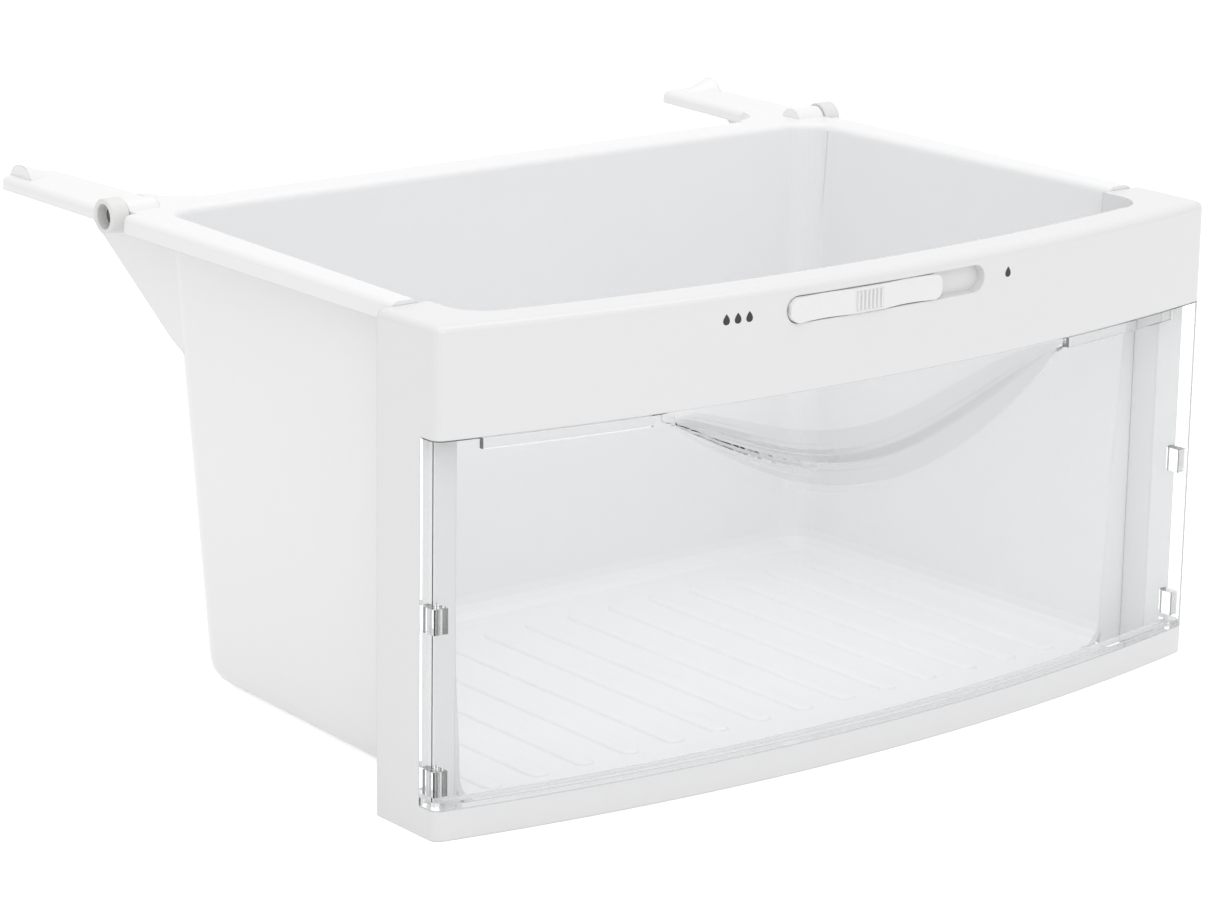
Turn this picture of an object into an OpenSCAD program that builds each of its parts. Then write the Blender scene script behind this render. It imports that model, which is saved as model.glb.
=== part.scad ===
// Crisper drawer of a refrigerator: a moulded tub with two rear runner arms and rollers,
// a bowed front frame with a humidity slider, and a clear window with a finger scoop.
// Millimetres. +X is the drawer's right, +Y its rear, +Z up.
// The origin is the middle of the drawer's box, on the surface that it stands on.

/* [Front frame] */
// Overall width of the front frame
frame_w = 420; // [380:1:460]
// Overall height of the front frame
frame_h = 209; // [190:1:240]
// How far the middle of the front stands out past its corners
bow = 22.5; // [12:0.5:30]
// Depth of the frame's side flanks
flank_d = 39; // [36:1:50]
// Radius of the front's two upright corners
corner_r = 5; // [3:0.5:8]
// Radius along the frame's top edge
top_round = 3.5; // [1:0.5:5]
// Wall of the frame moulding
frame_t = 2.5; // [2:0.1:3]
// Height of the solid white header above the window
header_h = 45; // [40:1:60]
// Depth of the header's top, front to back
header_d = 18; // [18:1:26]
// Width of the flat top of each flank
flank_w = 25; // [22:1:26]
// Radius of the inside corner between header and flank
inner_r = 18; // [8:1:20]
// Width of each stile's ledge beside the window
stile_w = 17; // [15:0.5:18]
// Height of the bar below the window
bar_h = 13; // [11:1:20]
// Depth of the bar below the window
bar_d = 10; // [8.5:0.5:12]

/* [Window] */
// Thickness of the clear sheet
pane_t = 2.6; // [2:0.1:3]
// How far the window wraps round each corner
pane_wrap = 10; // [8:0.5:12]
// Fitting gap round the window
pane_gap = 0.4; // [0.2:0.1:0.8]
// Depth of the lip along the window's lower edge
pane_lip_d = 8; // [5:0.5:8.5]
// Height of the tongues that rise behind the header
tongue_h = 7; // [4:0.5:12]
// Height of the window's four clips
clip_h = 10.6; // [8:0.2:14]
// Height of the lower clips above the foot
clip_low_z = 18; // [17:0.5:30]
// Height of the upper clips above the foot
clip_high_z = 85; // [50:1:110]

/* [Finger scoop] */
// Width of the scoop along the header
scoop_w = 216; // [160:2:260]
// Drop of the scoop below the header at the middle
scoop_drop = 48; // [40:1:70]
// Radius of the scoop's rolled front lip
scoop_lip_r = 12; // [8:0.5:14]
// Radius where the scoop turns up to its rear wall
scoop_back_r = 11; // [7:0.5:12]
// Slope of the scoop's floor from upright
scoop_slope = 60; // [45:1:65]
// Length of the straight part of the scoop's floor
scoop_run = 4.6; // [2:0.2:5]

/* [Humidity slider] */
// Length of the slider's recess
slot_w = 108.4; // [100:0.4:130]
// Height of the slider's recess
slot_h = 11.4; // [9:0.2:14]
// Place of the recess's middle, sideways
slot_x = 2.5; // [-20:0.5:20]
// Distance of the recess's middle below the frame's top
slot_down = 10.6; // [10.2:0.2:14]
// Depth of the recess at the middle of the front
slot_d = 6; // [4.5:0.5:6.5]
// Length of the slider
slider_w = 83.4; // [70:0.2:90]
// Gap all round the slider
slider_gap = 0.4; // [0.25:0.05:0.8]
// How far the slider's grip stands out of the header
slider_out = 2; // [1:0.2:4]
// Width of the ribbed grip
grip_w = 15; // [10:0.5:20]
// Number of ridges on the grip
ridge_n = 7; // [4:1:9]
// Number of vent slits behind the slider
vent_n = 4; // [2:1:5]

/* [Tub] */
// Inside width of the tub's mouth at the front
mouth_front_w = 381; // [340:1:382]
// Inside width of the tub's mouth at the rear
mouth_rear_w = 366; // [330:1:368]
// Inside depth of the tub, from the frame's corners to the rear wall
mouth_d = 235; // [200:1:300]
// Height of the rim above the frame's top
rim_up = 1.5; // [0.5:0.5:4]
// Wall of the tub moulding
tub_t = 2.5; // [2:0.1:3.2]
// Thickness of the tub's floor
floor_t = 3; // [2.4:0.1:4]
// Draft of the tub's walls in degrees
draft = 3.1; // [1:0.1:3.4]
// Radius of the tub's upright rear corners, inside
tub_r = 15; // [12:1:24]
// Radius between floor and walls, inside
floor_r = 10; // [6:0.5:12]
// Overall width of the rim
rim_w = 406; // [402:1:410]
// Width of the rim behind the tub
rim_rear_w = 20; // [16:1:26]
// How far the rim's lip hangs down
rim_lip = 8; // [6:0.5:12]
// Radius of the rim's outer edge
rim_round = 3.5; // [1.5:0.5:4]
// Radius of the rim's inner edge
mouth_round = 3; // [1:0.5:4]
// Distance of the tub's front flange behind the frame's corners
seat_y = 25; // [22:0.5:27]

/* [Floor ribs] */
// Number of ribs moulded into the floor
rib_n = 14; // [8:1:14]
// Distance from rib to rib
rib_pitch = 24; // [16:0.5:24]
// Width of a rib
rib_w = 10; // [6:0.5:12]
// Height of a rib
rib_h = 1.5; // [0.8:0.1:2.2]
// Start of the ribs behind the frame's corners
rib_front = 31; // [30:1:45]
// Distance of the ribs' rear ends from the rear wall
rib_stop = 36; // [20:1:60]

/* [Runner arms] */
// Length of the arms behind the rim
arm_len = 86; // [60:1:120]
// Width of an arm at the rim
arm_root_w = 33.5; // [30:0.5:36]
// Width of an arm at its tip
arm_tip_w = 28; // [24:0.5:30]
// Height of an arm's edge
arm_h = 6; // [5.5:0.5:8]
// Radius of an arm's corners in plan
arm_r = 6; // [5:0.5:9]
// Radius of the inside corner between arm and rim
arm_fillet = 15; // [6:1:20]
// Length of the gusset under an arm, behind the tub
gusset_l = 66; // [40:1:80]
// Height of the gusset where it meets the tub
gusset_h = 50; // [30:1:80]
// Width of the stop bump on an arm
stop_w = 18; // [12:0.5:22]
// Height of the stop bump
stop_h = 5.8; // [3:0.2:7]
// Distance of the stop bump's middle from the arm's tip
stop_in = 12; // [11:0.5:20]

/* [Rollers] */
// Diameter of a roller
roller_d = 15.5; // [13:0.5:18]
// Width of a roller
roller_w = 8.8; // [8:0.2:9]
// Distance of the rollers' axle behind the tub's rear wall
roller_back = 12; // [10:0.5:14]
// Distance of the rollers' axle below the rim's top
roller_down = 2.3; // [1.5:0.1:4]
// Diameter of the cup in the roller's face
cup_d = 10.8; // [9:0.2:11]
// Depth of that cup
cup_depth = 5.2; // [4:0.2:5.4]
// Diameter of the axle pins
pin_d = 4; // [3:0.2:5]
// Diameter of a pin's head
head_d = 7.6; // [6.6:0.2:8.4]
// Running clearance of a roller on its pin, on the radius
pin_play = 0.075; // [0.02:0.005:0.1]
// Clearance beside a roller
roller_gap = 0.6; // [0.3:0.1:1]

/* [Hidden] */

eps = 0.01;
half_w = frame_w / 2;
bow_r = (half_w * half_w + bow * bow) / (2 * bow);
bow_centre = bow_r - bow;
bow_steps = 56;
corner_steps = 4;
round_steps = 4;

header_z = frame_h - header_h;
ledge_x = half_w - stile_w;
ledge_y = pane_wrap + 0.2;
flank_x = half_w - flank_w;
header_wall = frame_t;
bar_in = bar_d - frame_t;

rim_z = frame_h + rim_up;
rim_t = 3;
lip_t = 2.5;
rim_rear = mouth_d + rim_rear_w;
arm_tip = rim_rear + arm_len;
arm_out = rim_w / 2;
seat_t = 2.5;
seat_w = 2 * (half_w - frame_t) - 5;
seat_clear = 0.3;

slot_z = frame_h - slot_down;
slot_floor_y = slot_d - bow;
slot_floor_t = 1.8;
slot_wall = 1.6;
slider_x = slot_x - slot_w / 2 + slider_gap + slider_w / 2;
slider_h = slot_h - 2 * slider_gap;
slider_travel = slot_w - slider_w - 2 * slider_gap;
leg_w = 22;
leg_h = 4;
hook_h = 7.4;
hook_t = 1.8;
leg_x = slider_x + slider_w / 2 - leg_w - slider_travel - 8;
vent_pitch = (slider_travel - 4) / vent_n;
vent_w = vent_pitch * 0.5;
vent_h = slot_h - 4.4;
vent_x = slot_x - slot_w / 2 + 4.5;

roller_y = mouth_d + roller_back;
roller_z = rim_z - roller_down;
boss_r = roller_d / 2 - 1.25;
boss_out = arm_out - 6.4;
boss_in = boss_out - 15.6;
notch_l = roller_d + 8;
roller_in = boss_out + roller_gap;
roller_out = roller_in + roller_w;
head_in = roller_out - cup_depth + 0.2;
head_t = 1.3;

// The box that all pieces are set in: the slider's grip is its front, the arms' tips its rear.
mid_y = (arm_tip - bow - slider_out) / 2;

white = [0.95, 0.95, 0.95];
clear = [0.85, 0.92, 0.95, 0.35];
steel = [0.25, 0.25, 0.27];

// Places a piece that is drawn from the frame's front corners into the drawer's own box.
module placed() {
    translate([0, -mid_y, 0]) children();
}

module both_sides() {
    children();
    mirror([1, 0, 0]) children();
}

// The plan of the front at an inset: left flank, corner, bow, corner, right flank.
function front_path(inset, y_end) =
    let (w = half_w - inset,
         r = max(corner_r - inset, 0.25),
         big_r = bow_r - inset,
         cy = bow_centre - sqrt(pow(big_r - r, 2) - pow(w - r, 2)),
         a = asin((w - r) / (big_r - r)))
    concat(
        [[-w, y_end]],
        [for (i = [0:corner_steps]) let (t = 180 + (90 - a) * i / corner_steps)
            [-(w - r) + r * cos(t), cy + r * sin(t)]],
        [for (i = [1:bow_steps - 1]) let (t = a * (2 * i / bow_steps - 1))
            [big_r * sin(t), bow_centre - big_r * cos(t)]],
        [for (i = [0:corner_steps]) let (t = 270 + a + (90 - a) * i / corner_steps)
            [w - r + r * cos(t), cy + r * sin(t)]],
        [[w, y_end]]);

function bow_y(x, inset = 0) = bow_centre - sqrt(pow(bow_r - inset, 2) - x * x);
function reversed(list) = [for (i = [len(list) - 1:-1:0]) list[i]];

// A strip that follows the front, between two insets.
module front_strip(inset_1, inset_2, y_end) {
    polygon(concat(front_path(inset_1, y_end), reversed(front_path(inset_2, y_end))));
}

// A closed solid through equal rings, listed from the bottom up and anticlockwise from above.
module loft(rings) {
    n = len(rings[0]);
    last = len(rings) - 1;
    polyhedron(
        points = [for (ring = rings) each ring],
        faces = concat(
            [[for (i = [0:n - 1]) i]],
            [for (j = [0:last - 1], i = [0:n - 1]) let (k = (i + 1) % n)
                each [[j * n + i, (j + 1) * n + i, (j + 1) * n + k],
                      [j * n + i, (j + 1) * n + k, j * n + k]]],
            [[for (i = [n - 1:-1:0]) last * n + i]]),
        convexity = 8);
}

function at_height(path, z) = [for (p = path) [p[0], p[1], z]];

module block(x, y, z) {
    translate([x[0], y[0], z[0]]) cube([x[1] - x[0], y[1] - y[0], z[1] - z[0]]);
}

module stadium(length, height) {
    for (side = [-1, 1]) translate([side * (length - height) / 2, 0]) circle(d = height, $fn = 48);
    square([length - height, height], center = true);
}

// A stadium that stands upright across the front, from one depth to another.
module upright_stadium(x, length, height, y) {
    translate([x, y[1], slot_z]) rotate([90, 0, 0]) linear_extrude(y[1] - y[0])
        stadium(length, height);
}

// Tub

// One closed ring of the tub: straight front, tapered sides and rounded rear corners.
function tub_ring(z, front, rear, y_front, y_rear, r) =
    let (lean = atan((front - rear) / (y_rear - y_front)),
         cy = y_rear - r,
         cx = front - (front - rear) * (cy - y_front) / (y_rear - y_front) - r / cos(lean),
         n = 8)
    concat(
        [[-front, y_front, z], [front, y_front, z]],
        [for (i = [0:n]) let (t = lean + (90 - lean) * i / n) [cx + r * cos(t), cy + r * sin(t), z]],
        [for (i = [n:-1:0]) let (t = lean + (90 - lean) * i / n) [-cx - r * cos(t), cy + r * sin(t), z]]);

// A ring on the tub's wall at a height, moved outwards by an offset.
function wall_ring(z, out) =
    let (slip = (rim_z - z) * tan(draft))
    tub_ring(z, mouth_front_w / 2 - slip + out, mouth_rear_w / 2 - slip + out, seat_y - 12 - out,
             mouth_d - slip + out, max(tub_r + out, 1));

// A ring round the rim's outer edge, moved inwards by an inset.
function rim_ring(z, inset) =
    tub_ring(z, arm_out - inset, arm_out - inset - eps, seat_y - 20 + inset, rim_rear - inset,
             12 - inset);

module tub_shell() {
    foot_r = floor_r + tub_t;
    turns = [for (i = [0:round_steps]) 90 * i / round_steps];
    loft(concat(
        [for (t = turns) wall_ring(foot_r * (1 - cos(t)), tub_t - foot_r * (1 - sin(t)))],
        [wall_ring(rim_z - rim_t - 1, tub_t), wall_ring(rim_z - rim_t, tub_t + 1),
         rim_ring(rim_z - rim_t, lip_t), rim_ring(rim_z - rim_lip, lip_t)],
        [for (i = [round_steps:-1:0]) let (t = turns[i])
            i == round_steps ? rim_ring(rim_z - rim_lip, 0)
                : rim_ring(rim_z - rim_round * (1 - cos(t)), rim_round * (1 - sin(t)))],
        [for (i = [round_steps:-1:0]) let (t = turns[i])
            wall_ring(rim_z - mouth_round * (1 - sin(t)), mouth_round * (1 - cos(t)))],
        [for (i = [round_steps:-1:0]) let (t = turns[i])
            wall_ring(floor_t + floor_r * (1 - cos(t)), -floor_r * (1 - sin(t)))]));
}

// The floor runs on under the front bar, and follows the bow there.
module floor_tongue() {
    slip = (rim_z - floor_t) * tan(draft);
    w = mouth_front_w / 2 - slip;
    linear_extrude(floor_t) intersection() {
        polygon(front_path(frame_t + 0.5, seat_y + 15));
        translate([-w, -bow]) square([2 * w, bow + seat_y + 14]);
    }
}

module front_seat() {
    top = rim_z - rim_t - 1.3;
    w_top = mouth_front_w / 2 + tub_t / 2;
    w_low = w_top - (top - floor_t) * tan(draft);
    translate([0, seat_y + seat_t, 0]) rotate([90, 0, 0]) linear_extrude(seat_t)
        polygon([[w_low, floor_t], [seat_w / 2, floor_t], [seat_w / 2, top], [w_top, top]]);
}

// A ring round a convex plan with rounded corners, moved inwards by an inset.
function plan_ring(corners, r, inset, z) =
    let (n = len(corners))
    [for (i = [0:n - 1])
        let (a = corners[(i + n - 1) % n], b = corners[i], c = corners[(i + 1) % n],
             u = (b - a) / norm(b - a), v = (c - b) / norm(c - b),
             t1 = atan2(u[1], u[0]) - 90,
             turn = (atan2(v[1], v[0]) - atan2(u[1], u[0]) + 360) % 360,
             mid = t1 + turn / 2,
             centre = b - r / cos(turn / 2) * [cos(mid), sin(mid)])
        for (k = [0:3]) let (t = t1 + turn * k / 3)
            [centre[0] + (r - inset) * cos(t), centre[1] + (r - inset) * sin(t), z]];

// A rib is a low ridge with a rounded section and round ends, sunk a little into the floor.
module floor_rib(x) {
    r = rib_w / 2;
    plan = [[x - r, rib_front], [x + r, rib_front], [x + r, mouth_d - rib_stop], [x - r, mouth_d - rib_stop]];
    loft(concat(
        [plan_ring(plan, r - eps, 0, floor_t - 0.6)],
        [for (i = [3:-1:0]) let (t = 22 + 68 * i / 3)
            plan_ring(plan, r - eps, r * (1 - sin(t)) * 0.98, floor_t + rib_h * cos(t))]));
}

// An arm: a plate with a rounded top edge, hollow below, that carries on the side of the rim.
module arm() {
    plan = [[arm_out - arm_root_w, mouth_d + mouth_round + 3], [arm_out, mouth_d + mouth_round + 3],
            [arm_out, arm_tip], [arm_out - arm_tip_w, arm_tip]];
    difference() {
        loft(concat(
            [plan_ring(plan, arm_r, 0, rim_z - arm_h)],
            [for (i = [round_steps:-1:0]) let (t = 90 * i / round_steps)
                plan_ring(plan, arm_r, rim_round * (1 - sin(t)), rim_z - rim_round * (1 - cos(t)))]));
        loft([for (z = [rim_z - arm_h - 1, rim_z - rim_t]) plan_ring(plan, arm_r, lip_t, z)]);
    }
    for (part = [0.34, 0.67]) {
        y = rim_rear + arm_len * part;
        block([arm_out - arm_tip_w, arm_out - lip_t + eps], [y, y + 2], [rim_z - arm_h, rim_z - rim_t + eps]);
    }
    arm_blend();
}

module arm_blend() {
    x = arm_out - arm_root_w;
    translate([0, 0, rim_z - arm_h]) linear_extrude(arm_h) difference() {
        translate([x - arm_fillet, rim_rear - rim_round - 1])
            square([arm_fillet + rim_round + 1, arm_fillet + rim_round + 1]);
        translate([x - arm_fillet, rim_rear + arm_fillet]) circle(r = arm_fillet, $fn = 32);
    }
}

// The upright plate below an arm lies in the plane of the tub's side wall.
module gusset() {
    x_top = mouth_rear_w / 2 + tub_t - 0.4;
    root = mouth_d - tub_r + 2;
    translate([x_top, 0, rim_z - rim_t]) rotate([0, draft, 0]) rotate([90, 0, -90])
        linear_extrude(tub_t) polygon([
            [-root, 0], [-mouth_d - gusset_l, 0], [-mouth_d - gusset_l, -3],
            [-mouth_d + 3, -gusset_h - 3], [-root, -gusset_h - 8]]);
}

module stop_bump() {
    r = (stop_w * stop_w / 4 + stop_h * stop_h) / (2 * stop_h);
    translate([arm_out - 5, arm_tip - stop_in, rim_z + stop_h - r]) rotate([0, -90, 0])
        cylinder(r1 = r, r2 = r - stop_h, h = 17, $fn = 64);
}

module axle_boss() {
    translate([boss_in, roller_y, roller_z]) rotate([0, 90, 0])
        cylinder(r = boss_r, h = boss_out - boss_in, $fn = 48);
}

module tub() {
    color(white) placed() difference() {
        union() {
            difference() {
                tub_shell();
                block([-half_w, half_w], [-bow - 30, seat_y], [-1, rim_z + 1]);
                block([-half_w, half_w], [-bow - 30, flank_d + 0.3], [frame_h - frame_t - 0.3, rim_z + 1]);
            }
            floor_tongue();
            both_sides() {
                front_seat();
                difference() {
                    union() {
                        arm();
                        gusset();
                    }
                    block([boss_out + 0.2, half_w], [roller_y - notch_l / 2, roller_y + notch_l / 2],
                          [rim_z - 20, rim_z + 1]);
                }
                axle_boss();
                intersection() {
                    stop_bump();
                    block([0, half_w], [0, arm_tip], [rim_z - rim_t, rim_z + 20]);
                }
            }
            for (i = [0:rib_n - 1]) floor_rib((i - (rib_n - 1) / 2) * rib_pitch);
        }
        both_sides() {
            // Room for the roller beside its boss
            block([boss_out, half_w], [roller_y - notch_l / 2, roller_y + notch_l / 2],
                  [rim_z - 20, rim_z + 20]);
            // Seat of the axle pin
            translate([boss_in + 2, roller_y, roller_z]) rotate([0, 90, 0])
                cylinder(d = pin_d, h = 20, $fn = 48);
            // Window in the wall's top for the frame's hook
            block([mouth_front_w / 2 - 6, seat_w / 2 - 6], [seat_y + seat_t + 1, flank_d - 2],
                  [frame_h - 11, frame_h - 4]);
        }
    }
}

// Front frame

module frame_body() {
    loft(concat(
        [at_height(front_path(1, flank_d), 0), at_height(front_path(0.3, flank_d), 0.3),
         at_height(front_path(0, flank_d), 1)],
        [for (i = [round_steps:-1:0]) let (t = 90 * i / round_steps)
            at_height(front_path(top_round * (1 - sin(t)), flank_d), frame_h - top_round * (1 - cos(t)))]));
}

// The tub's mouth, seen from above: behind the header and between the flanks.
module mouth_plan() {
    y = bow_y(flank_x - inner_r, header_d) + inner_r;
    difference() {
        polygon(concat(
            [for (i = [0:bow_steps]) let (x = (flank_x - inner_r) * (2 * i / bow_steps - 1))
                [x, bow_y(x, header_d)]],
            [[flank_x, y - inner_r], [flank_x, flank_d + 1], [-flank_x, flank_d + 1],
             [-flank_x, y - inner_r]]));
        both_sides() difference() {
            translate([flank_x - inner_r, y - 2 * inner_r]) square([inner_r + 1, 2 * inner_r]);
            translate([flank_x - inner_r, y]) circle(r = inner_r, $fn = 96);
        }
    }
}

// The hollow inside header and flanks, open below.
module header_hollow() {
    y = bow_y(flank_x - inner_r, header_d) + inner_r;
    difference() {
        polygon(front_path(frame_t, flank_d + 1));
        polygon(concat(
            [for (i = [0:bow_steps]) let (x = (flank_x + 2) * (2 * i / bow_steps - 1))
                [x, bow_y(x, header_d - frame_t)]],
            [[flank_x + 2, flank_d + 2], [-flank_x - 2, flank_d + 2]]));
    }
}

module slider_cup() {
    intersection() {
        upright_stadium(slot_x, slot_w + 2 * slot_wall, slot_h + 2 * slot_wall,
                        [-bow + 0.8, slot_floor_y + slot_floor_t]);
        translate([0, 0, header_z]) linear_extrude(header_h - 0.5)
            polygon(front_path(frame_t / 2, flank_d));
    }
}

// The stiles' ribs lie clear of the window's clips.
module stile_ribs() {
    low_top = clip_low_z + clip_h;
    high_top = clip_high_z + clip_h;
    for (z = [bar_h * 0.5, (low_top + clip_high_z) / 2, (high_top * 2 + header_z) / 3, header_z - 8])
        block([ledge_x + 1, half_w - frame_t + eps], [ledge_y + frame_t - eps, seat_y - seat_clear],
              [z, z + 1.8]);
}

module catches() {
    for (part = [0.2, 0.5, 0.8]) {
        z = frame_h * part;
        block([seat_w / 2 - 1, half_w - frame_t + eps],
              [seat_y + seat_t + seat_clear, seat_y + seat_t + seat_clear + 3], [z - 6, z + 6]);
    }
}

module clip_spaces(play) {
    for (z = [clip_low_z, clip_high_z])
        block([half_w - 6.8 - play, half_w - 3.8 + play], [ledge_y - 1, ledge_y + frame_t + 1],
              [z - play, z + clip_h + play]);
}

module front_frame() {
    color(white) placed() {
        difference() {
            union() {
                difference() {
                    frame_body();
                    // Window opening, and the place that the window wraps into
                    block([-ledge_x, ledge_x], [-bow - 5, flank_d + 5], [bar_h, header_z]);
                    block([-half_w - 5, half_w + 5], [-bow - 5, ledge_y], [bar_h, header_z]);
                    // Hollows of the header and of the bar
                    translate([0, 0, header_z - 1]) linear_extrude(header_h + 1 - frame_t)
                        header_hollow();
                    translate([0, 0, -1]) linear_extrude(bar_h - frame_t + 1)
                        front_strip_flat(frame_t, bar_in);
                    // Behind the bar, and over the tub's floor
                    translate([0, 0, -1]) linear_extrude(bar_h + 2) behind_bar();
                    translate([0, 0, -1]) linear_extrude(floor_t + 1.3)
                        front_strip_flat(bar_in - 1, bar_d + 1);
                    // Mouth of the drawer
                    translate([0, 0, header_z - 1]) linear_extrude(header_h + 2) mouth_plan();
                    // Hollows of the two stiles
                    both_sides() block([ledge_x + 2, half_w - frame_t],
                                       [ledge_y + frame_t, flank_d + 1], [frame_t, header_z + 1]);
                    both_sides() block([ledge_x - 9, ledge_x + 3], [seat_y - seat_clear, flank_d + 1],
                                       [-1, header_z + 1]);
                }
                slider_cup();
                both_sides() {
                    stile_ribs();
                    catches();
                }
            }
            // Recess of the slider, its guide slit and the vents
            upright_stadium(slot_x, slot_w, slot_h, [-bow - 5, slot_floor_y]);
            block([leg_x - slider_gap, leg_x + leg_w + slider_travel + slider_gap],
                  [slot_floor_y - 1, slot_floor_y + slot_floor_t + 1],
                  [slot_z - leg_h / 2 - slider_gap, slot_z + leg_h / 2 + slider_gap]);
            for (i = [0:vent_n - 1])
                block([vent_x + i * vent_pitch, vent_x + i * vent_pitch + vent_w],
                      [slot_floor_y - 1, bow_y(0, header_d) + 6],
                      [slot_z - vent_h / 2, slot_z + vent_h / 2]);
            both_sides() clip_spaces(pane_gap);
        }
    }
}

// A strip that follows the bow only, between the two stiles.
module front_strip_flat(inset_1, inset_2) {
    w = ledge_x;
    polygon(concat(
        [for (i = [0:bow_steps]) let (x = w * (2 * i / bow_steps - 1)) [x, bow_y(x, inset_1)]],
        [for (i = [bow_steps:-1:0]) let (x = w * (2 * i / bow_steps - 1)) [x, bow_y(x, inset_2)]]));
}

module behind_bar() {
    w = ledge_x;
    polygon(concat(
        [for (i = [0:bow_steps]) let (x = w * (2 * i / bow_steps - 1)) [x, bow_y(x, bar_d)]],
        [[w, flank_d + 1], [-w, flank_d + 1]]));
}

// Window

pane_low = bar_h + pane_gap;
pane_top = header_z - pane_gap;
scoop_rest = 5;
scoop_rows = 10;

// The scoop's section as [rise, depth] pairs: rolled lip, sloping floor, turn up to the rear wall.
scoop_section = concat(
    [for (i = [0:4]) let (t = scoop_slope * i / 4) [scoop_lip_r * sin(t), scoop_lip_r * (1 - cos(t))]],
    [for (i = [0:5]) let (t = scoop_slope * (1 - i / 5))
        [scoop_lip_r * sin(scoop_slope) + scoop_run * cos(scoop_slope)
             + scoop_back_r * (sin(scoop_slope) - sin(t)),
         scoop_lip_r * (1 - cos(scoop_slope)) + scoop_run * sin(scoop_slope)
             + scoop_back_r * (cos(t) - cos(scoop_slope))]]);

// How much of the scoop there is at a place across the front: 1 in the middle, 0 past its ends.
function scoop_share(x) = max(0, 1 - pow(2 * x / scoop_w, 2));
function scoop_rise(x) =
    min(scoop_share(x) * (2 - scoop_share(x)),
        scoop_share(x) * (scoop_drop - scoop_rest) / scoop_section[scoop_rows][0]);

// Height and depth of a row of the window's face. Rows 0 and 1 are below the scoop, the last is the top.
function row_place(j, x) =
    j == 0 ? [pane_low, 0]
    : j == scoop_rows + 2 ? [pane_top, scoop_section[scoop_rows][1] * scoop_rise(x)]
    : let (s = scoop_section[j - 1])
        [pane_top - scoop_share(x) * (scoop_drop - scoop_rest) - scoop_rest + s[0] * scoop_rise(x)
             + scoop_rest * (j - 1) / (scoop_rows + 1),
         s[1] * scoop_rise(x)];

// The sheet's tilt at a row, 0 where it stands upright.
function row_tilt(j, x) =
    j == 0 || j == scoop_rows + 2 ? 0
    : let (a = row_place(j - 1, x), b = row_place(j + 1, x)) atan2(b[1] - a[1], b[0] - a[0]);

module pane() {
    face = front_path(0, pane_wrap);
    back = front_path(pane_t, pane_wrap);
    n = len(face);
    rows = scoop_rows + 3;
    front_points = [for (j = [0:rows - 1], i = [0:n - 1])
        let (p = row_place(j, face[i][0])) [face[i][0], face[i][1] + p[1], p[0]]];
    back_points = [for (j = [0:rows - 1], i = [0:n - 1])
        let (p = row_place(j, face[i][0]), t = row_tilt(j, face[i][0]), d = back[i] - face[i])
            [face[i][0] + d[0] * cos(t), face[i][1] + p[1] + d[1] * cos(t), p[0] - pane_t * sin(t)]];
    m = n * rows;
    polyhedron(
        points = concat(front_points, back_points),
        faces = concat(
            [for (j = [0:rows - 2], i = [0:n - 2]) let (a = j * n + i, b = a + n)
                each [[a, b, b + 1], [a, b + 1, a + 1],
                      [m + a, m + b + 1, m + b], [m + a, m + a + 1, m + b + 1]]],
            [for (i = [0:n - 2]) let (t = (rows - 1) * n + i)
                each [[i, i + 1, m + i + 1], [i, m + i + 1, m + i],
                      [t, m + t, m + t + 1], [t, m + t + 1, t + 1]]],
            [for (j = [0:rows - 2]) let (a = j * n, b = a + n, c = a + n - 1, d = c + n)
                each [[a, m + a, m + b], [a, m + b, b],
                      [c, d, m + d], [c, m + d, m + c]]]),
        convexity = 8);
}

// The tongues rise behind the header's wall, one on each side of the scoop.
module pane_tongue() {
    x_in = scoop_w / 2 + 6;
    x_out = ledge_x - 4;
    inset = frame_t + pane_gap;
    steps = 12;
    z = pane_top - 5;
    for (part = [[1.2, z, pane_top - 0.6], [inset, z, pane_top + tongue_h]])
        translate([0, 0, part[1]]) linear_extrude(part[2] - part[1]) polygon(concat(
            [for (i = [0:steps]) let (x = x_in + (x_out - x_in) * i / steps) [x, bow_y(x, part[0])]],
            [for (i = [steps:-1:0]) let (x = x_in + (x_out - x_in) * i / steps)
                [x, bow_y(x, inset + 2)]]));
}

module pane_clip(z) {
    block([half_w - 8, half_w - 1.2], [3, pane_wrap], [z, z + clip_h]);
    block([half_w - 6.8, half_w - 3.8], [pane_wrap - 1, ledge_y + frame_t + 2.5], [z, z + clip_h]);
    block([half_w - 7.6, half_w - 3.8],
          [ledge_y + frame_t + pane_gap, ledge_y + frame_t + 2.5], [z, z + clip_h]);
}

module window() {
    color(clear) placed() {
        pane();
        translate([0, 0, pane_low]) linear_extrude(pane_t)
            front_strip(1.2, pane_lip_d, pane_wrap - 0.5);
        both_sides() {
            pane_tongue();
            pane_clip(clip_low_z);
            pane_clip(clip_high_z);
        }
    }
}

// Humidity slider

module slider_body() {
    difference() {
        intersection() {
            upright_stadium(slider_x, slider_w, slider_h, [-bow - 3, slot_floor_y - slider_gap]);
            translate([0, 0, slot_z - slot_h]) linear_extrude(2 * slot_h)
                translate([slider_x, 0]) polygon(slider_plan());
        }
    }
}

// The slider's face seen from above: rounded ends, two finger dips and the grip between them.
function slider_plan() =
    let (front = -bow - 1.2, n = 40, half = slider_w / 2 - 0.5)
    concat(
        [for (i = [0:n]) let (x = half * (2 * i / n - 1)) [x, front + slider_relief(x / half)]],
        [[half, slot_floor_y], [-half, slot_floor_y]]);
function slider_relief(s) =
    let (dip = abs(s) < 0.2 ? 0 : abs(s) > 0.93 ? 0 : sin((abs(s) - 0.2) / 0.73 * 180))
    1.9 * dip + 0.5 * max(0, abs(s) - 0.9) * 20;

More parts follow.
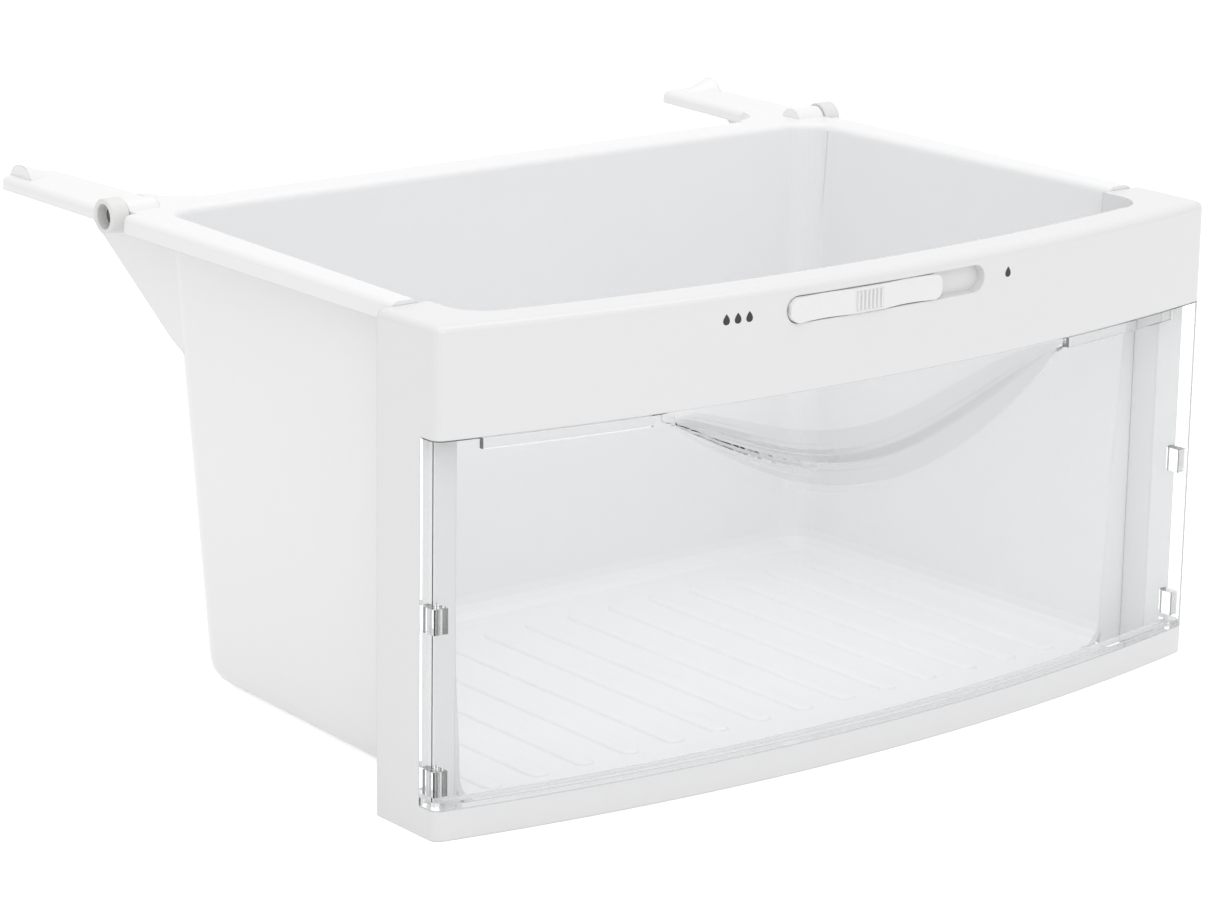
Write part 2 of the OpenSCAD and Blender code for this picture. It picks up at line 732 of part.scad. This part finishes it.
module grip_ridges() {
    pitch = grip_w / ridge_n;
    for (i = [0:ridge_n - 1]) {
        x = slider_x + (i - (ridge_n - 1) / 2) * pitch;
        block([x - pitch * 0.25, x + pitch * 0.25], [-bow - slider_out, -bow],
              [slot_z - slider_h * 0.38, slot_z + slider_h * 0.38]);
    }
}

module slider_legs() {
    block([leg_x, leg_x + leg_w], [slot_floor_y - 1.5, slot_floor_y + slot_floor_t + slider_gap + hook_t],
          [slot_z - leg_h / 2, slot_z + leg_h / 2]);
    block([leg_x, leg_x + leg_w],
          [slot_floor_y + slot_floor_t + slider_gap, slot_floor_y + slot_floor_t + slider_gap + hook_t],
          [slot_z - hook_h / 2, slot_z + hook_h / 2]);
}

module humidity_slider() {
    color(white) placed() {
        slider_body();
        grip_ridges();
        slider_legs();
    }
}

// Rollers and pins, drawn on the right-hand side with the axle along X

module on_axle() {
    placed() translate([0, roller_y, roller_z]) rotate([0, 90, 0]) children();
}

module roller() {
    r = roller_d / 2;
    soft = 0.5;
    color(white) on_axle() rotate_extrude($fn = 96) polygon([
        [pin_d / 2 + pin_play, roller_in], [r - soft, roller_in], [r, roller_in + soft],
        [r, roller_out - soft], [r - soft, roller_out], [cup_d / 2 + soft, roller_out],
        [cup_d / 2, roller_out - soft], [cup_d / 2, roller_out - cup_depth],
        [pin_d / 2 + pin_play, roller_out - cup_depth]]);
}

module axle_pin() {
    color(steel) on_axle() rotate_extrude($fn = 96) polygon([
        [0, boss_in + 2.2], [pin_d / 2, boss_in + 2.2], [pin_d / 2, head_in], [head_d / 2, head_in],
        [head_d / 2, head_in + head_t * 0.6], [head_d / 2 - 0.5, head_in + head_t * 0.85],
        [head_d / 4, head_in + head_t], [0, head_in + head_t]]);
}

module right_roller() roller();
module left_roller() mirror([1, 0, 0]) roller();
module right_axle_pin() axle_pin();
module left_axle_pin() mirror([1, 0, 0]) axle_pin();

tub();
front_frame();
window();
humidity_slider();
left_roller();
right_roller();
left_axle_pin();
right_axle_pin();
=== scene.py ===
"""Fridge drawer: finishes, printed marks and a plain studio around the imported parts."""

import math

import bpy
from bpy.props import FloatProperty, FloatVectorProperty, IntProperty, PointerProperty
from bpy.types import Operator, Panel, PropertyGroup
from mathutils import Matrix, Vector


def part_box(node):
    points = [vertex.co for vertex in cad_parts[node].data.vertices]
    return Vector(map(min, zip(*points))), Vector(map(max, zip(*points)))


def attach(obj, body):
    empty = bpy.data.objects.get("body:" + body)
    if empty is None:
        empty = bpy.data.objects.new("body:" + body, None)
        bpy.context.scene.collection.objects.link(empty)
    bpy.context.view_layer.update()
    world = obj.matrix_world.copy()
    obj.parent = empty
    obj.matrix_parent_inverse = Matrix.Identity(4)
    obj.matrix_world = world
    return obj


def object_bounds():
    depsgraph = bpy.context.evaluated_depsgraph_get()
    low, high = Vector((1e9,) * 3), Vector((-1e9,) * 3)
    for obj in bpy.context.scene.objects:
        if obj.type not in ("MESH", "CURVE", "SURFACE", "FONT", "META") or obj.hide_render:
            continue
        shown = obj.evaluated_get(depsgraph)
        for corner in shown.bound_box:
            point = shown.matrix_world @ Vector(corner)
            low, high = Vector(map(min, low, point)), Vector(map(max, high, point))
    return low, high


bl_info = {
    "name": "Fridge Drawer",
    "version": (1, 1, 0),
    "blender": (4, 5, 0),
    "location": "View3D > Sidebar > Drawer",
    "description": "Finishes a fridge drawer, prints its marks and sets it in a plain studio",
    "category": "Add Mesh",
}

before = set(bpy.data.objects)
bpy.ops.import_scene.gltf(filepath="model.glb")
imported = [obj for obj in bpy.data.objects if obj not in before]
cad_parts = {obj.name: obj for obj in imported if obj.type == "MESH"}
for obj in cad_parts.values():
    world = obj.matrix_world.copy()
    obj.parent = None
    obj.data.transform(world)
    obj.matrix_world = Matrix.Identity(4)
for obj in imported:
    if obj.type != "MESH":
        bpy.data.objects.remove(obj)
cad_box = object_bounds()

MM = 0.001
CREASE_ANGLE = math.radians(28)
STYRENE_IOR = 1.59
CLEAR_STYRENE_IOR = 1.57
ABS_IOR = 1.54
ACETAL_IOR = 1.48
INK_IOR = 1.5


def linear(hex_colour):
    """An sRGB hex colour as linear red, green, blue and alpha."""
    channels = [int(hex_colour[i:i + 2], 16) / 255 for i in (0, 2, 4)]
    return [c / 12.92 if c <= 0.04045 else ((c + 0.055) / 1.055) ** 2.4 for c in channels] + [1.0]


def colour_property(name, description, hex_colour):
    return FloatVectorProperty(name=name, description=description, subtype="COLOR", size=4,
                               min=0, max=1, default=linear(hex_colour))


class DrawerFinish(PropertyGroup):
    """Colours and sizes that a user would change."""
    tub_colour: colour_property("Tub", "Colour of the tub", "F3F3F4")
    frame_colour: colour_property("Frame", "Colour of the front frame", "E8E8E9")
    slider_colour: colour_property("Slider", "Colour of the humidity slider", "EEEEEF")
    roller_colour: colour_property("Rollers", "Colour of the rollers", "E6E6E5")
    pin_colour: colour_property("Pins", "Colour of the axle pins", "6E6E70")
    ink_colour: colour_property("Ink", "Colour of the printed marks", "2A2A2C")
    mark_height: FloatProperty(name="Mark Height", description="Height of a printed drop", unit="LENGTH",
                               default=4.5 * MM, min=2 * MM, max=8 * MM)
    moist_marks: IntProperty(name="Moist Marks", description="Number of drops at the moist end", default=3,
                             min=1, max=4)


def add_node(tree, kind, settings=None, inputs=None, links=None):
    """Adds a shader node, with its settings, its sockets' values and the sockets that feed it."""
    node = tree.nodes.new(kind)
    for name, value in (settings or {}).items():
        setattr(node, name, value)
    for name, value in (inputs or {}).items():
        node.inputs[name].default_value = value
    for name, source in (links or {}).items():
        tree.links.new(source, node.inputs[name])
    return node


def new_material(name):
    """An empty node material, with its tree and output."""
    material = bpy.data.materials.new(name)
    material.use_nodes = True
    tree = material.node_tree
    tree.nodes.clear()
    return material, tree, add_node(tree, "ShaderNodeOutputMaterial")


def noise(tree, size_mm):
    """Noise whose lumps are about this many millimetres across, fixed to the piece."""
    place = add_node(tree, "ShaderNodeTexCoord").outputs["Object"]
    return add_node(tree, "ShaderNodeTexNoise", inputs={"Scale": 1 / (size_mm * MM), "Detail": 1.0},
                    links={"Vector": place}).outputs["Fac"]


def varied_roughness(tree, roughness, share, size_mm):
    """A roughness that drifts by a share either way, as a mould's polish does."""
    return add_node(tree, "ShaderNodeMapRange", {"clamp": False},
                    {"To Min": roughness * (1 - share), "To Max": roughness * (1 + share)},
                    {"Value": noise(tree, size_mm)}).outputs["Result"]


GRAIN_MM = 1.5
GRAIN_DEPTH_MM = 0.004
POLISH_PATCH_MM = 70
EDGE_SAMPLES = 6


def moulded_plastic(name, colour, roughness, ior, edge_mm):
    """Injection-moulded white plastic: an even satin gloss and soft edges, where the mould was radiused.

    The mould's spark grain is 0.05 mm, too fine to show, so it is drawn 1.5 mm wide and very low.
    """
    material, tree, output = new_material(name)
    edge = add_node(tree, "ShaderNodeBevel", {"samples": EDGE_SAMPLES}, {"Radius": edge_mm * MM})
    grain = add_node(tree, "ShaderNodeBump", inputs={"Strength": 0.2, "Distance": GRAIN_DEPTH_MM * MM},
                     links={"Height": noise(tree, GRAIN_MM), "Normal": edge.outputs["Normal"]})
    shader = add_node(tree, "ShaderNodeBsdfPrincipled",
                      inputs={"Base Color": colour, "IOR": ior},
                      links={"Roughness": varied_roughness(tree, roughness, 0.12, POLISH_PATCH_MM),
                             "Normal": grain.outputs["Normal"]})
    tree.links.new(shader.outputs["BSDF"], output.inputs["Surface"])
    return material


HAZE_DENSITY = 16.0
CLEAR_PATCH_MM = 60


def clear_styrene():
    """Polished clear styrene: bright through the sheet, grey along its edges, where light runs inside it.

    Lamps shine through it, so that what lies behind is lit as behind a real window.
    """
    material, tree, output = new_material("moulded_clear_styrene")
    sheet = add_node(tree, "ShaderNodeBsdfPrincipled",
                     inputs={"Base Color": linear("FFFFFF"), "IOR": CLEAR_STYRENE_IOR,
                             "Transmission Weight": 1.0},
                     links={"Roughness": varied_roughness(tree, 0.015, 0.5, CLEAR_PATCH_MM)})
    passed = add_node(tree, "ShaderNodeBsdfTransparent", inputs={"Color": linear("F8F9F9")})
    path = add_node(tree, "ShaderNodeLightPath")
    lit = add_node(tree, "ShaderNodeMath", {"operation": "MAXIMUM"},
                   links={0: path.outputs["Is Shadow Ray"], 1: path.outputs["Is Diffuse Ray"]})
    both = add_node(tree, "ShaderNodeMixShader",
                    links={0: lit.outputs["Value"], 1: sheet.outputs["BSDF"], 2: passed.outputs["BSDF"]})
    haze = add_node(tree, "ShaderNodeVolumeAbsorption",
                    inputs={"Color": linear("BFC3C4"), "Density": HAZE_DENSITY})
    tree.links.new(both.outputs["Shader"], output.inputs["Surface"])
    tree.links.new(haze.outputs["Volume"], output.inputs["Volume"])
    return material


RING_PITCH_MM = 0.5
RING_DEPTH_MM = 0.01
# A wave texture at scale 1 repeats every 1/20 of a unit
WAVES_PER_UNIT = 20


def turned_steel(colour, axle):
    """Dark turned steel: fine rings round the axle, left by the lathe.

    The lathe's feed is 0.1 mm, so the rings are drawn 0.5 mm apart to show at all.
    """
    material, tree, output = new_material("turned_dark_steel")
    place = add_node(tree, "ShaderNodeTexCoord").outputs["Object"]
    centred = add_node(tree, "ShaderNodeMapping", inputs={"Location": -axle}, links={"Vector": place})
    rings = add_node(tree, "ShaderNodeTexWave", {"wave_type": "RINGS", "rings_direction": "X"},
                     {"Scale": 1 / (WAVES_PER_UNIT * RING_PITCH_MM * MM)},
                     {"Vector": centred.outputs["Vector"]})
    cut = add_node(tree, "ShaderNodeBump", inputs={"Strength": 0.3, "Distance": RING_DEPTH_MM * MM},
                   links={"Height": rings.outputs["Fac"]})
    shader = add_node(tree, "ShaderNodeBsdfPrincipled",
                      inputs={"Base Color": colour, "Metallic": 1.0},
                      links={"Roughness": varied_roughness(tree, 0.38, 0.2, 2),
                             "Normal": cut.outputs["Normal"]})
    tree.links.new(shader.outputs["BSDF"], output.inputs["Surface"])
    return material


def printed_ink(colour):
    """Pad-printed ink: a dark matt film, slightly uneven in its cover."""
    material, tree, output = new_material("printed_ink")
    shader = add_node(tree, "ShaderNodeBsdfPrincipled", inputs={"Base Color": colour, "IOR": INK_IOR},
                      links={"Roughness": varied_roughness(tree, 0.5, 0.25, 0.8)})
    tree.links.new(shader.outputs["BSDF"], output.inputs["Surface"])
    return material


def finish_node(name, material):
    """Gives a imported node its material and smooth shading, with creases at its real edges."""
    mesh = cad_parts[name].data
    mesh.materials.clear()
    mesh.materials.append(material)
    mesh.shade_smooth()
    mesh.set_sharp_from_angle(angle=CREASE_ANGLE)


class DRAWER_OT_tub(Operator):
    """Gives the tub the finish of moulded white styrene"""
    bl_idname = "drawer.tub"
    bl_label = "Tub"

    def execute(self, context):
        finish = context.scene.drawer_finish
        finish_node("tub",
                    moulded_plastic("moulded_white_styrene", finish.tub_colour, 0.32, STYRENE_IOR, 0.8))
        return {"FINISHED"}


class DRAWER_OT_front_frame(Operator):
    """Gives the front frame the finish of moulded white ABS"""
    bl_idname = "drawer.front_frame"
    bl_label = "Front Frame"

    def execute(self, context):
        finish = context.scene.drawer_finish
        finish_node("front_frame",
                    moulded_plastic("moulded_white_abs", finish.frame_colour, 0.24, ABS_IOR, 0.8))
        return {"FINISHED"}


class DRAWER_OT_window(Operator):
    """Gives the window its clear finish"""
    bl_idname = "drawer.window"
    bl_label = "Window"

    def execute(self, context):
        finish_node("window", clear_styrene())
        return {"FINISHED"}


class DRAWER_OT_slider(Operator):
    """Gives the humidity slider the finish of moulded white ABS"""
    bl_idname = "drawer.slider"
    bl_label = "Humidity Slider"

    def execute(self, context):
        finish = context.scene.drawer_finish
        finish_node("humidity_slider",
                    moulded_plastic("moulded_slider_abs", finish.slider_colour, 0.28, ABS_IOR, 0.5))
        return {"FINISHED"}


class DRAWER_OT_rollers(Operator):
    """Gives the rollers the finish of white acetal, and their pins that of turned steel"""
    bl_idname = "drawer.rollers"
    bl_label = "Rollers and Pins"

    def execute(self, context):
        finish = context.scene.drawer_finish
        low, high = (Vector(corner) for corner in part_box("left_axle_pin"))
        axle = (low + high) / 2
        axle.x = 0
        acetal = moulded_plastic("moulded_white_acetal", finish.roller_colour, 0.4, ACETAL_IOR, 0.3)
        steel = turned_steel(finish.pin_colour, axle)
        for side in ("left", "right"):
            finish_node(side + "_roller", acetal)
            finish_node(side + "_axle_pin", steel)
        return {"FINISHED"}


DROP_POINTS = 36
DROP_WIDTH_SHARE = 0.72
DROP_FULLNESS = 1.3
DROP_MIDDLE_SHARE = 0.1
RAY_START = 0.1
MARK_PITCH_SHARE = 1.25
MARK_ROW_BELOW_TOP = 10.4 * MM
MOIST_MARKS_X = -76 * MM
DRY_MARK_X = 71.2 * MM
INK_THICKNESS = 0.05 * MM


def drop_outline(height):
    """A water drop's outline: pointed at the top and round below."""
    turns = [2 * math.pi * i / DROP_POINTS for i in range(DROP_POINTS)]
    half_width = height * DROP_WIDTH_SHARE / 2
    return [(half_width * math.sin(t) * math.sin(t / 2) * DROP_FULLNESS, height / 2 * math.cos(t))
            for t in turns]


def on_header(x, z):
    """The place on the header's bowed face straight behind a point in front of it."""
    start = Vector((x, cad_box[0][1] - RAY_START, z))
    hit, place, _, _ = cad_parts["front_frame"].ray_cast(start, Vector((0, 1, 0)))
    if not hit:
        raise RuntimeError("A printed mark misses the header.")
    return place


def print_drop(name, x, z, height, ink):
    """One drop of ink, laid on the header's face."""
    rim = [on_header(x + dx, z + dz) for dx, dz in drop_outline(height)]
    middle = on_header(x, z - height * DROP_MIDDLE_SHARE)
    faces = [(DROP_POINTS, i, (i + 1) % DROP_POINTS) for i in range(DROP_POINTS)]
    mesh = bpy.data.meshes.new(name)
    mesh.from_pydata(rim + [middle], [], faces)
    mesh.materials.append(ink)
    drop = bpy.data.objects.new(name, mesh)
    bpy.context.scene.collection.objects.link(drop)
    film = drop.modifiers.new("film", "SOLIDIFY")
    film.thickness = 2 * INK_THICKNESS
    film.offset = 0
    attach(drop, "drawer")


class DRAWER_OT_marks(Operator):
    """Prints plain water drops at both ends of the slider: several for moist, one for dry"""
    bl_idname = "drawer.marks"
    bl_label = "Printed Marks"

    def execute(self, context):
        finish = context.scene.drawer_finish
        ink = printed_ink(finish.ink_colour)
        height = finish.mark_height
        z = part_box("front_frame")[1][2] - MARK_ROW_BELOW_TOP
        for i in range(finish.moist_marks):
            x = MOIST_MARKS_X + (i - (finish.moist_marks - 1) / 2) * height * MARK_PITCH_SHARE
            print_drop(f"moist_mark_{i + 1}", x, z, height, ink)
        print_drop("dry_mark", DRY_MARK_X, z, height, ink)
        return {"FINISHED"}


PHOTO_WIDTH = 1206
FOCAL_PIXELS = 4130.16
SENSOR_MM = 36.0
CAMERA_PLACE = (-1110.5 * MM, -1394.75 * MM, 579.7 * MM)
CAMERA_YAW = 38.471
CAMERA_PITCH = 15.291
CAMERA_ROLL = -0.875
VIEW_LIMIT = 20
FLOOR_HALF = 6
FLOOR_GLOW = 0.6
FILL_LIGHT = 0.8
AIM = Vector((0, 0, 0.1))
# Each lamp's place in metres, side in metres and power in watts
LAMPS = {
    "key": ((-0.8, -1.7, 1.6), 1.4, 8.2),
    "top": ((0.2, 0.1, 2.0), 1.6, 7.2),
}


def camera_axes():
    """The camera's right, up and backward directions, from its yaw, pitch and roll."""
    yaw, pitch, roll = (math.radians(a) for a in (CAMERA_YAW, CAMERA_PITCH, CAMERA_ROLL))
    forward = Vector((math.sin(yaw) * math.cos(pitch), math.cos(yaw) * math.cos(pitch), -math.sin(pitch)))
    right = Vector((math.cos(yaw), -math.sin(yaw), 0))
    down = forward.cross(right)
    level_right = right * math.cos(roll) + down * math.sin(roll)
    level_down = down * math.cos(roll) - right * math.sin(roll)
    return level_right, -level_down, -forward


def add_camera(scene):
    """A camera that sees the drawer as the photograph does."""
    data = bpy.data.cameras.new("camera")
    data.sensor_width = SENSOR_MM
    data.lens = SENSOR_MM * FOCAL_PIXELS / PHOTO_WIDTH
    data.clip_end = VIEW_LIMIT
    camera = bpy.data.objects.new("camera", data)
    scene.collection.objects.link(camera)
    camera.matrix_world = Matrix.Translation(CAMERA_PLACE) @ Matrix(camera_axes()).transposed().to_4x4()
    scene.camera = camera


def seen_directly(tree):
    """1 for rays that show the background: straight, mirrored or through the window."""
    path = add_node(tree, "ShaderNodeLightPath")
    seen = path.outputs["Is Camera Ray"]
    for kind in ("Is Glossy Ray", "Is Transmission Ray"):
        seen = add_node(tree, "ShaderNodeMath", {"operation": "MAXIMUM"},
                        links={0: seen, 1: path.outputs[kind]}).outputs["Value"]
    return seen


def add_floor(scene):
    """White studio paper that keeps the drawer's soft shadow."""
    corners = [(x * FLOOR_HALF, y * FLOOR_HALF, 0) for x, y in ((-1, -1), (1, -1), (1, 1), (-1, 1))]
    mesh = bpy.data.meshes.new("floor")
    mesh.from_pydata(corners, [], [(0, 1, 2, 3)])
    floor = bpy.data.objects.new("floor", mesh)
    scene.collection.objects.link(floor)
    material, tree, output = new_material("studio_paper")
    paper = add_node(tree, "ShaderNodeBsdfDiffuse", inputs={"Color": linear("F4F4F4")})
    glow = add_node(tree, "ShaderNodeEmission", inputs={"Color": linear("FFFFFF"), "Strength": FLOOR_GLOW})
    bright = add_node(tree, "ShaderNodeAddShader", links={0: paper.outputs[0], 1: glow.outputs[0]})
    pick = add_node(tree, "ShaderNodeMixShader",
                    links={0: seen_directly(tree), 1: paper.outputs[0], 2: bright.outputs[0]})
    tree.links.new(pick.outputs[0], output.inputs["Surface"])
    mesh.materials.append(material)


def add_world(scene):
    """Soft light from all round, in front of a white background."""
    world = bpy.data.worlds.new("studio")
    scene.world = world
    world.use_nodes = True
    tree = world.node_tree
    tree.nodes.clear()
    output = add_node(tree, "ShaderNodeOutputWorld")
    fill, white = (add_node(tree, "ShaderNodeBackground",
                            inputs={"Color": linear("FFFFFF"), "Strength": light})
                   for light in (FILL_LIGHT, 1.0))
    pick = add_node(tree, "ShaderNodeMixShader",
                    links={0: seen_directly(tree), 1: fill.outputs[0], 2: white.outputs[0]})
    tree.links.new(pick.outputs[0], output.inputs["Surface"])


def add_lamps(scene):
    """Large soft lamps, all aimed at the drawer."""
    for name, (place, side, power) in LAMPS.items():
        lamp = bpy.data.lights.new(name, "AREA")
        lamp.shape = "SQUARE"
        lamp.size = side
        lamp.energy = power
        holder = bpy.data.objects.new(name, lamp)
        scene.collection.objects.link(holder)
        holder.location = place
        holder.rotation_euler = (AIM - Vector(place)).to_track_quat("-Z", "Y").to_euler()


class DRAWER_OT_stage(Operator):
    """Sets the camera, the floor, the world and the lamps"""
    bl_idname = "drawer.stage"
    bl_label = "Studio"

    def execute(self, context):
        scene = context.scene
        add_camera(scene)
        add_floor(scene)
        add_world(scene)
        add_lamps(scene)
        scene.view_settings.view_transform = "Standard"
        return {"FINISHED"}


PIECES = (DRAWER_OT_tub, DRAWER_OT_front_frame, DRAWER_OT_window, DRAWER_OT_slider, DRAWER_OT_rollers,
          DRAWER_OT_marks, DRAWER_OT_stage)


class DRAWER_PT_panel(Panel):
    """Lists the drawer's pieces, colours and sizes"""
    bl_idname = "DRAWER_PT_panel"
    bl_label = "Fridge Drawer"
    bl_space_type = "VIEW_3D"
    bl_region_type = "UI"
    bl_category = "Drawer"

    def draw(self, context):
        for name in DrawerFinish.__annotations__:
            self.layout.prop(context.scene.drawer_finish, name)
        for operator in PIECES:
            self.layout.operator(operator.bl_idname)


CLASSES = (DrawerFinish, *PIECES, DRAWER_PT_panel)


def register():
    for cls in CLASSES:
        bpy.utils.register_class(cls)
    bpy.types.Scene.drawer_finish = PointerProperty(type=DrawerFinish)


def unregister():
    del bpy.types.Scene.drawer_finish
    for cls in reversed(CLASSES):
        bpy.utils.unregister_class(cls)


def main():
    register()
    bpy.ops.drawer.tub()
    bpy.ops.drawer.front_frame()
    bpy.ops.drawer.window()
    bpy.ops.drawer.slider()
    bpy.ops.drawer.rollers()
    bpy.ops.drawer.marks()
    bpy.ops.drawer.stage()


if __name__ == "__main__":
    main()
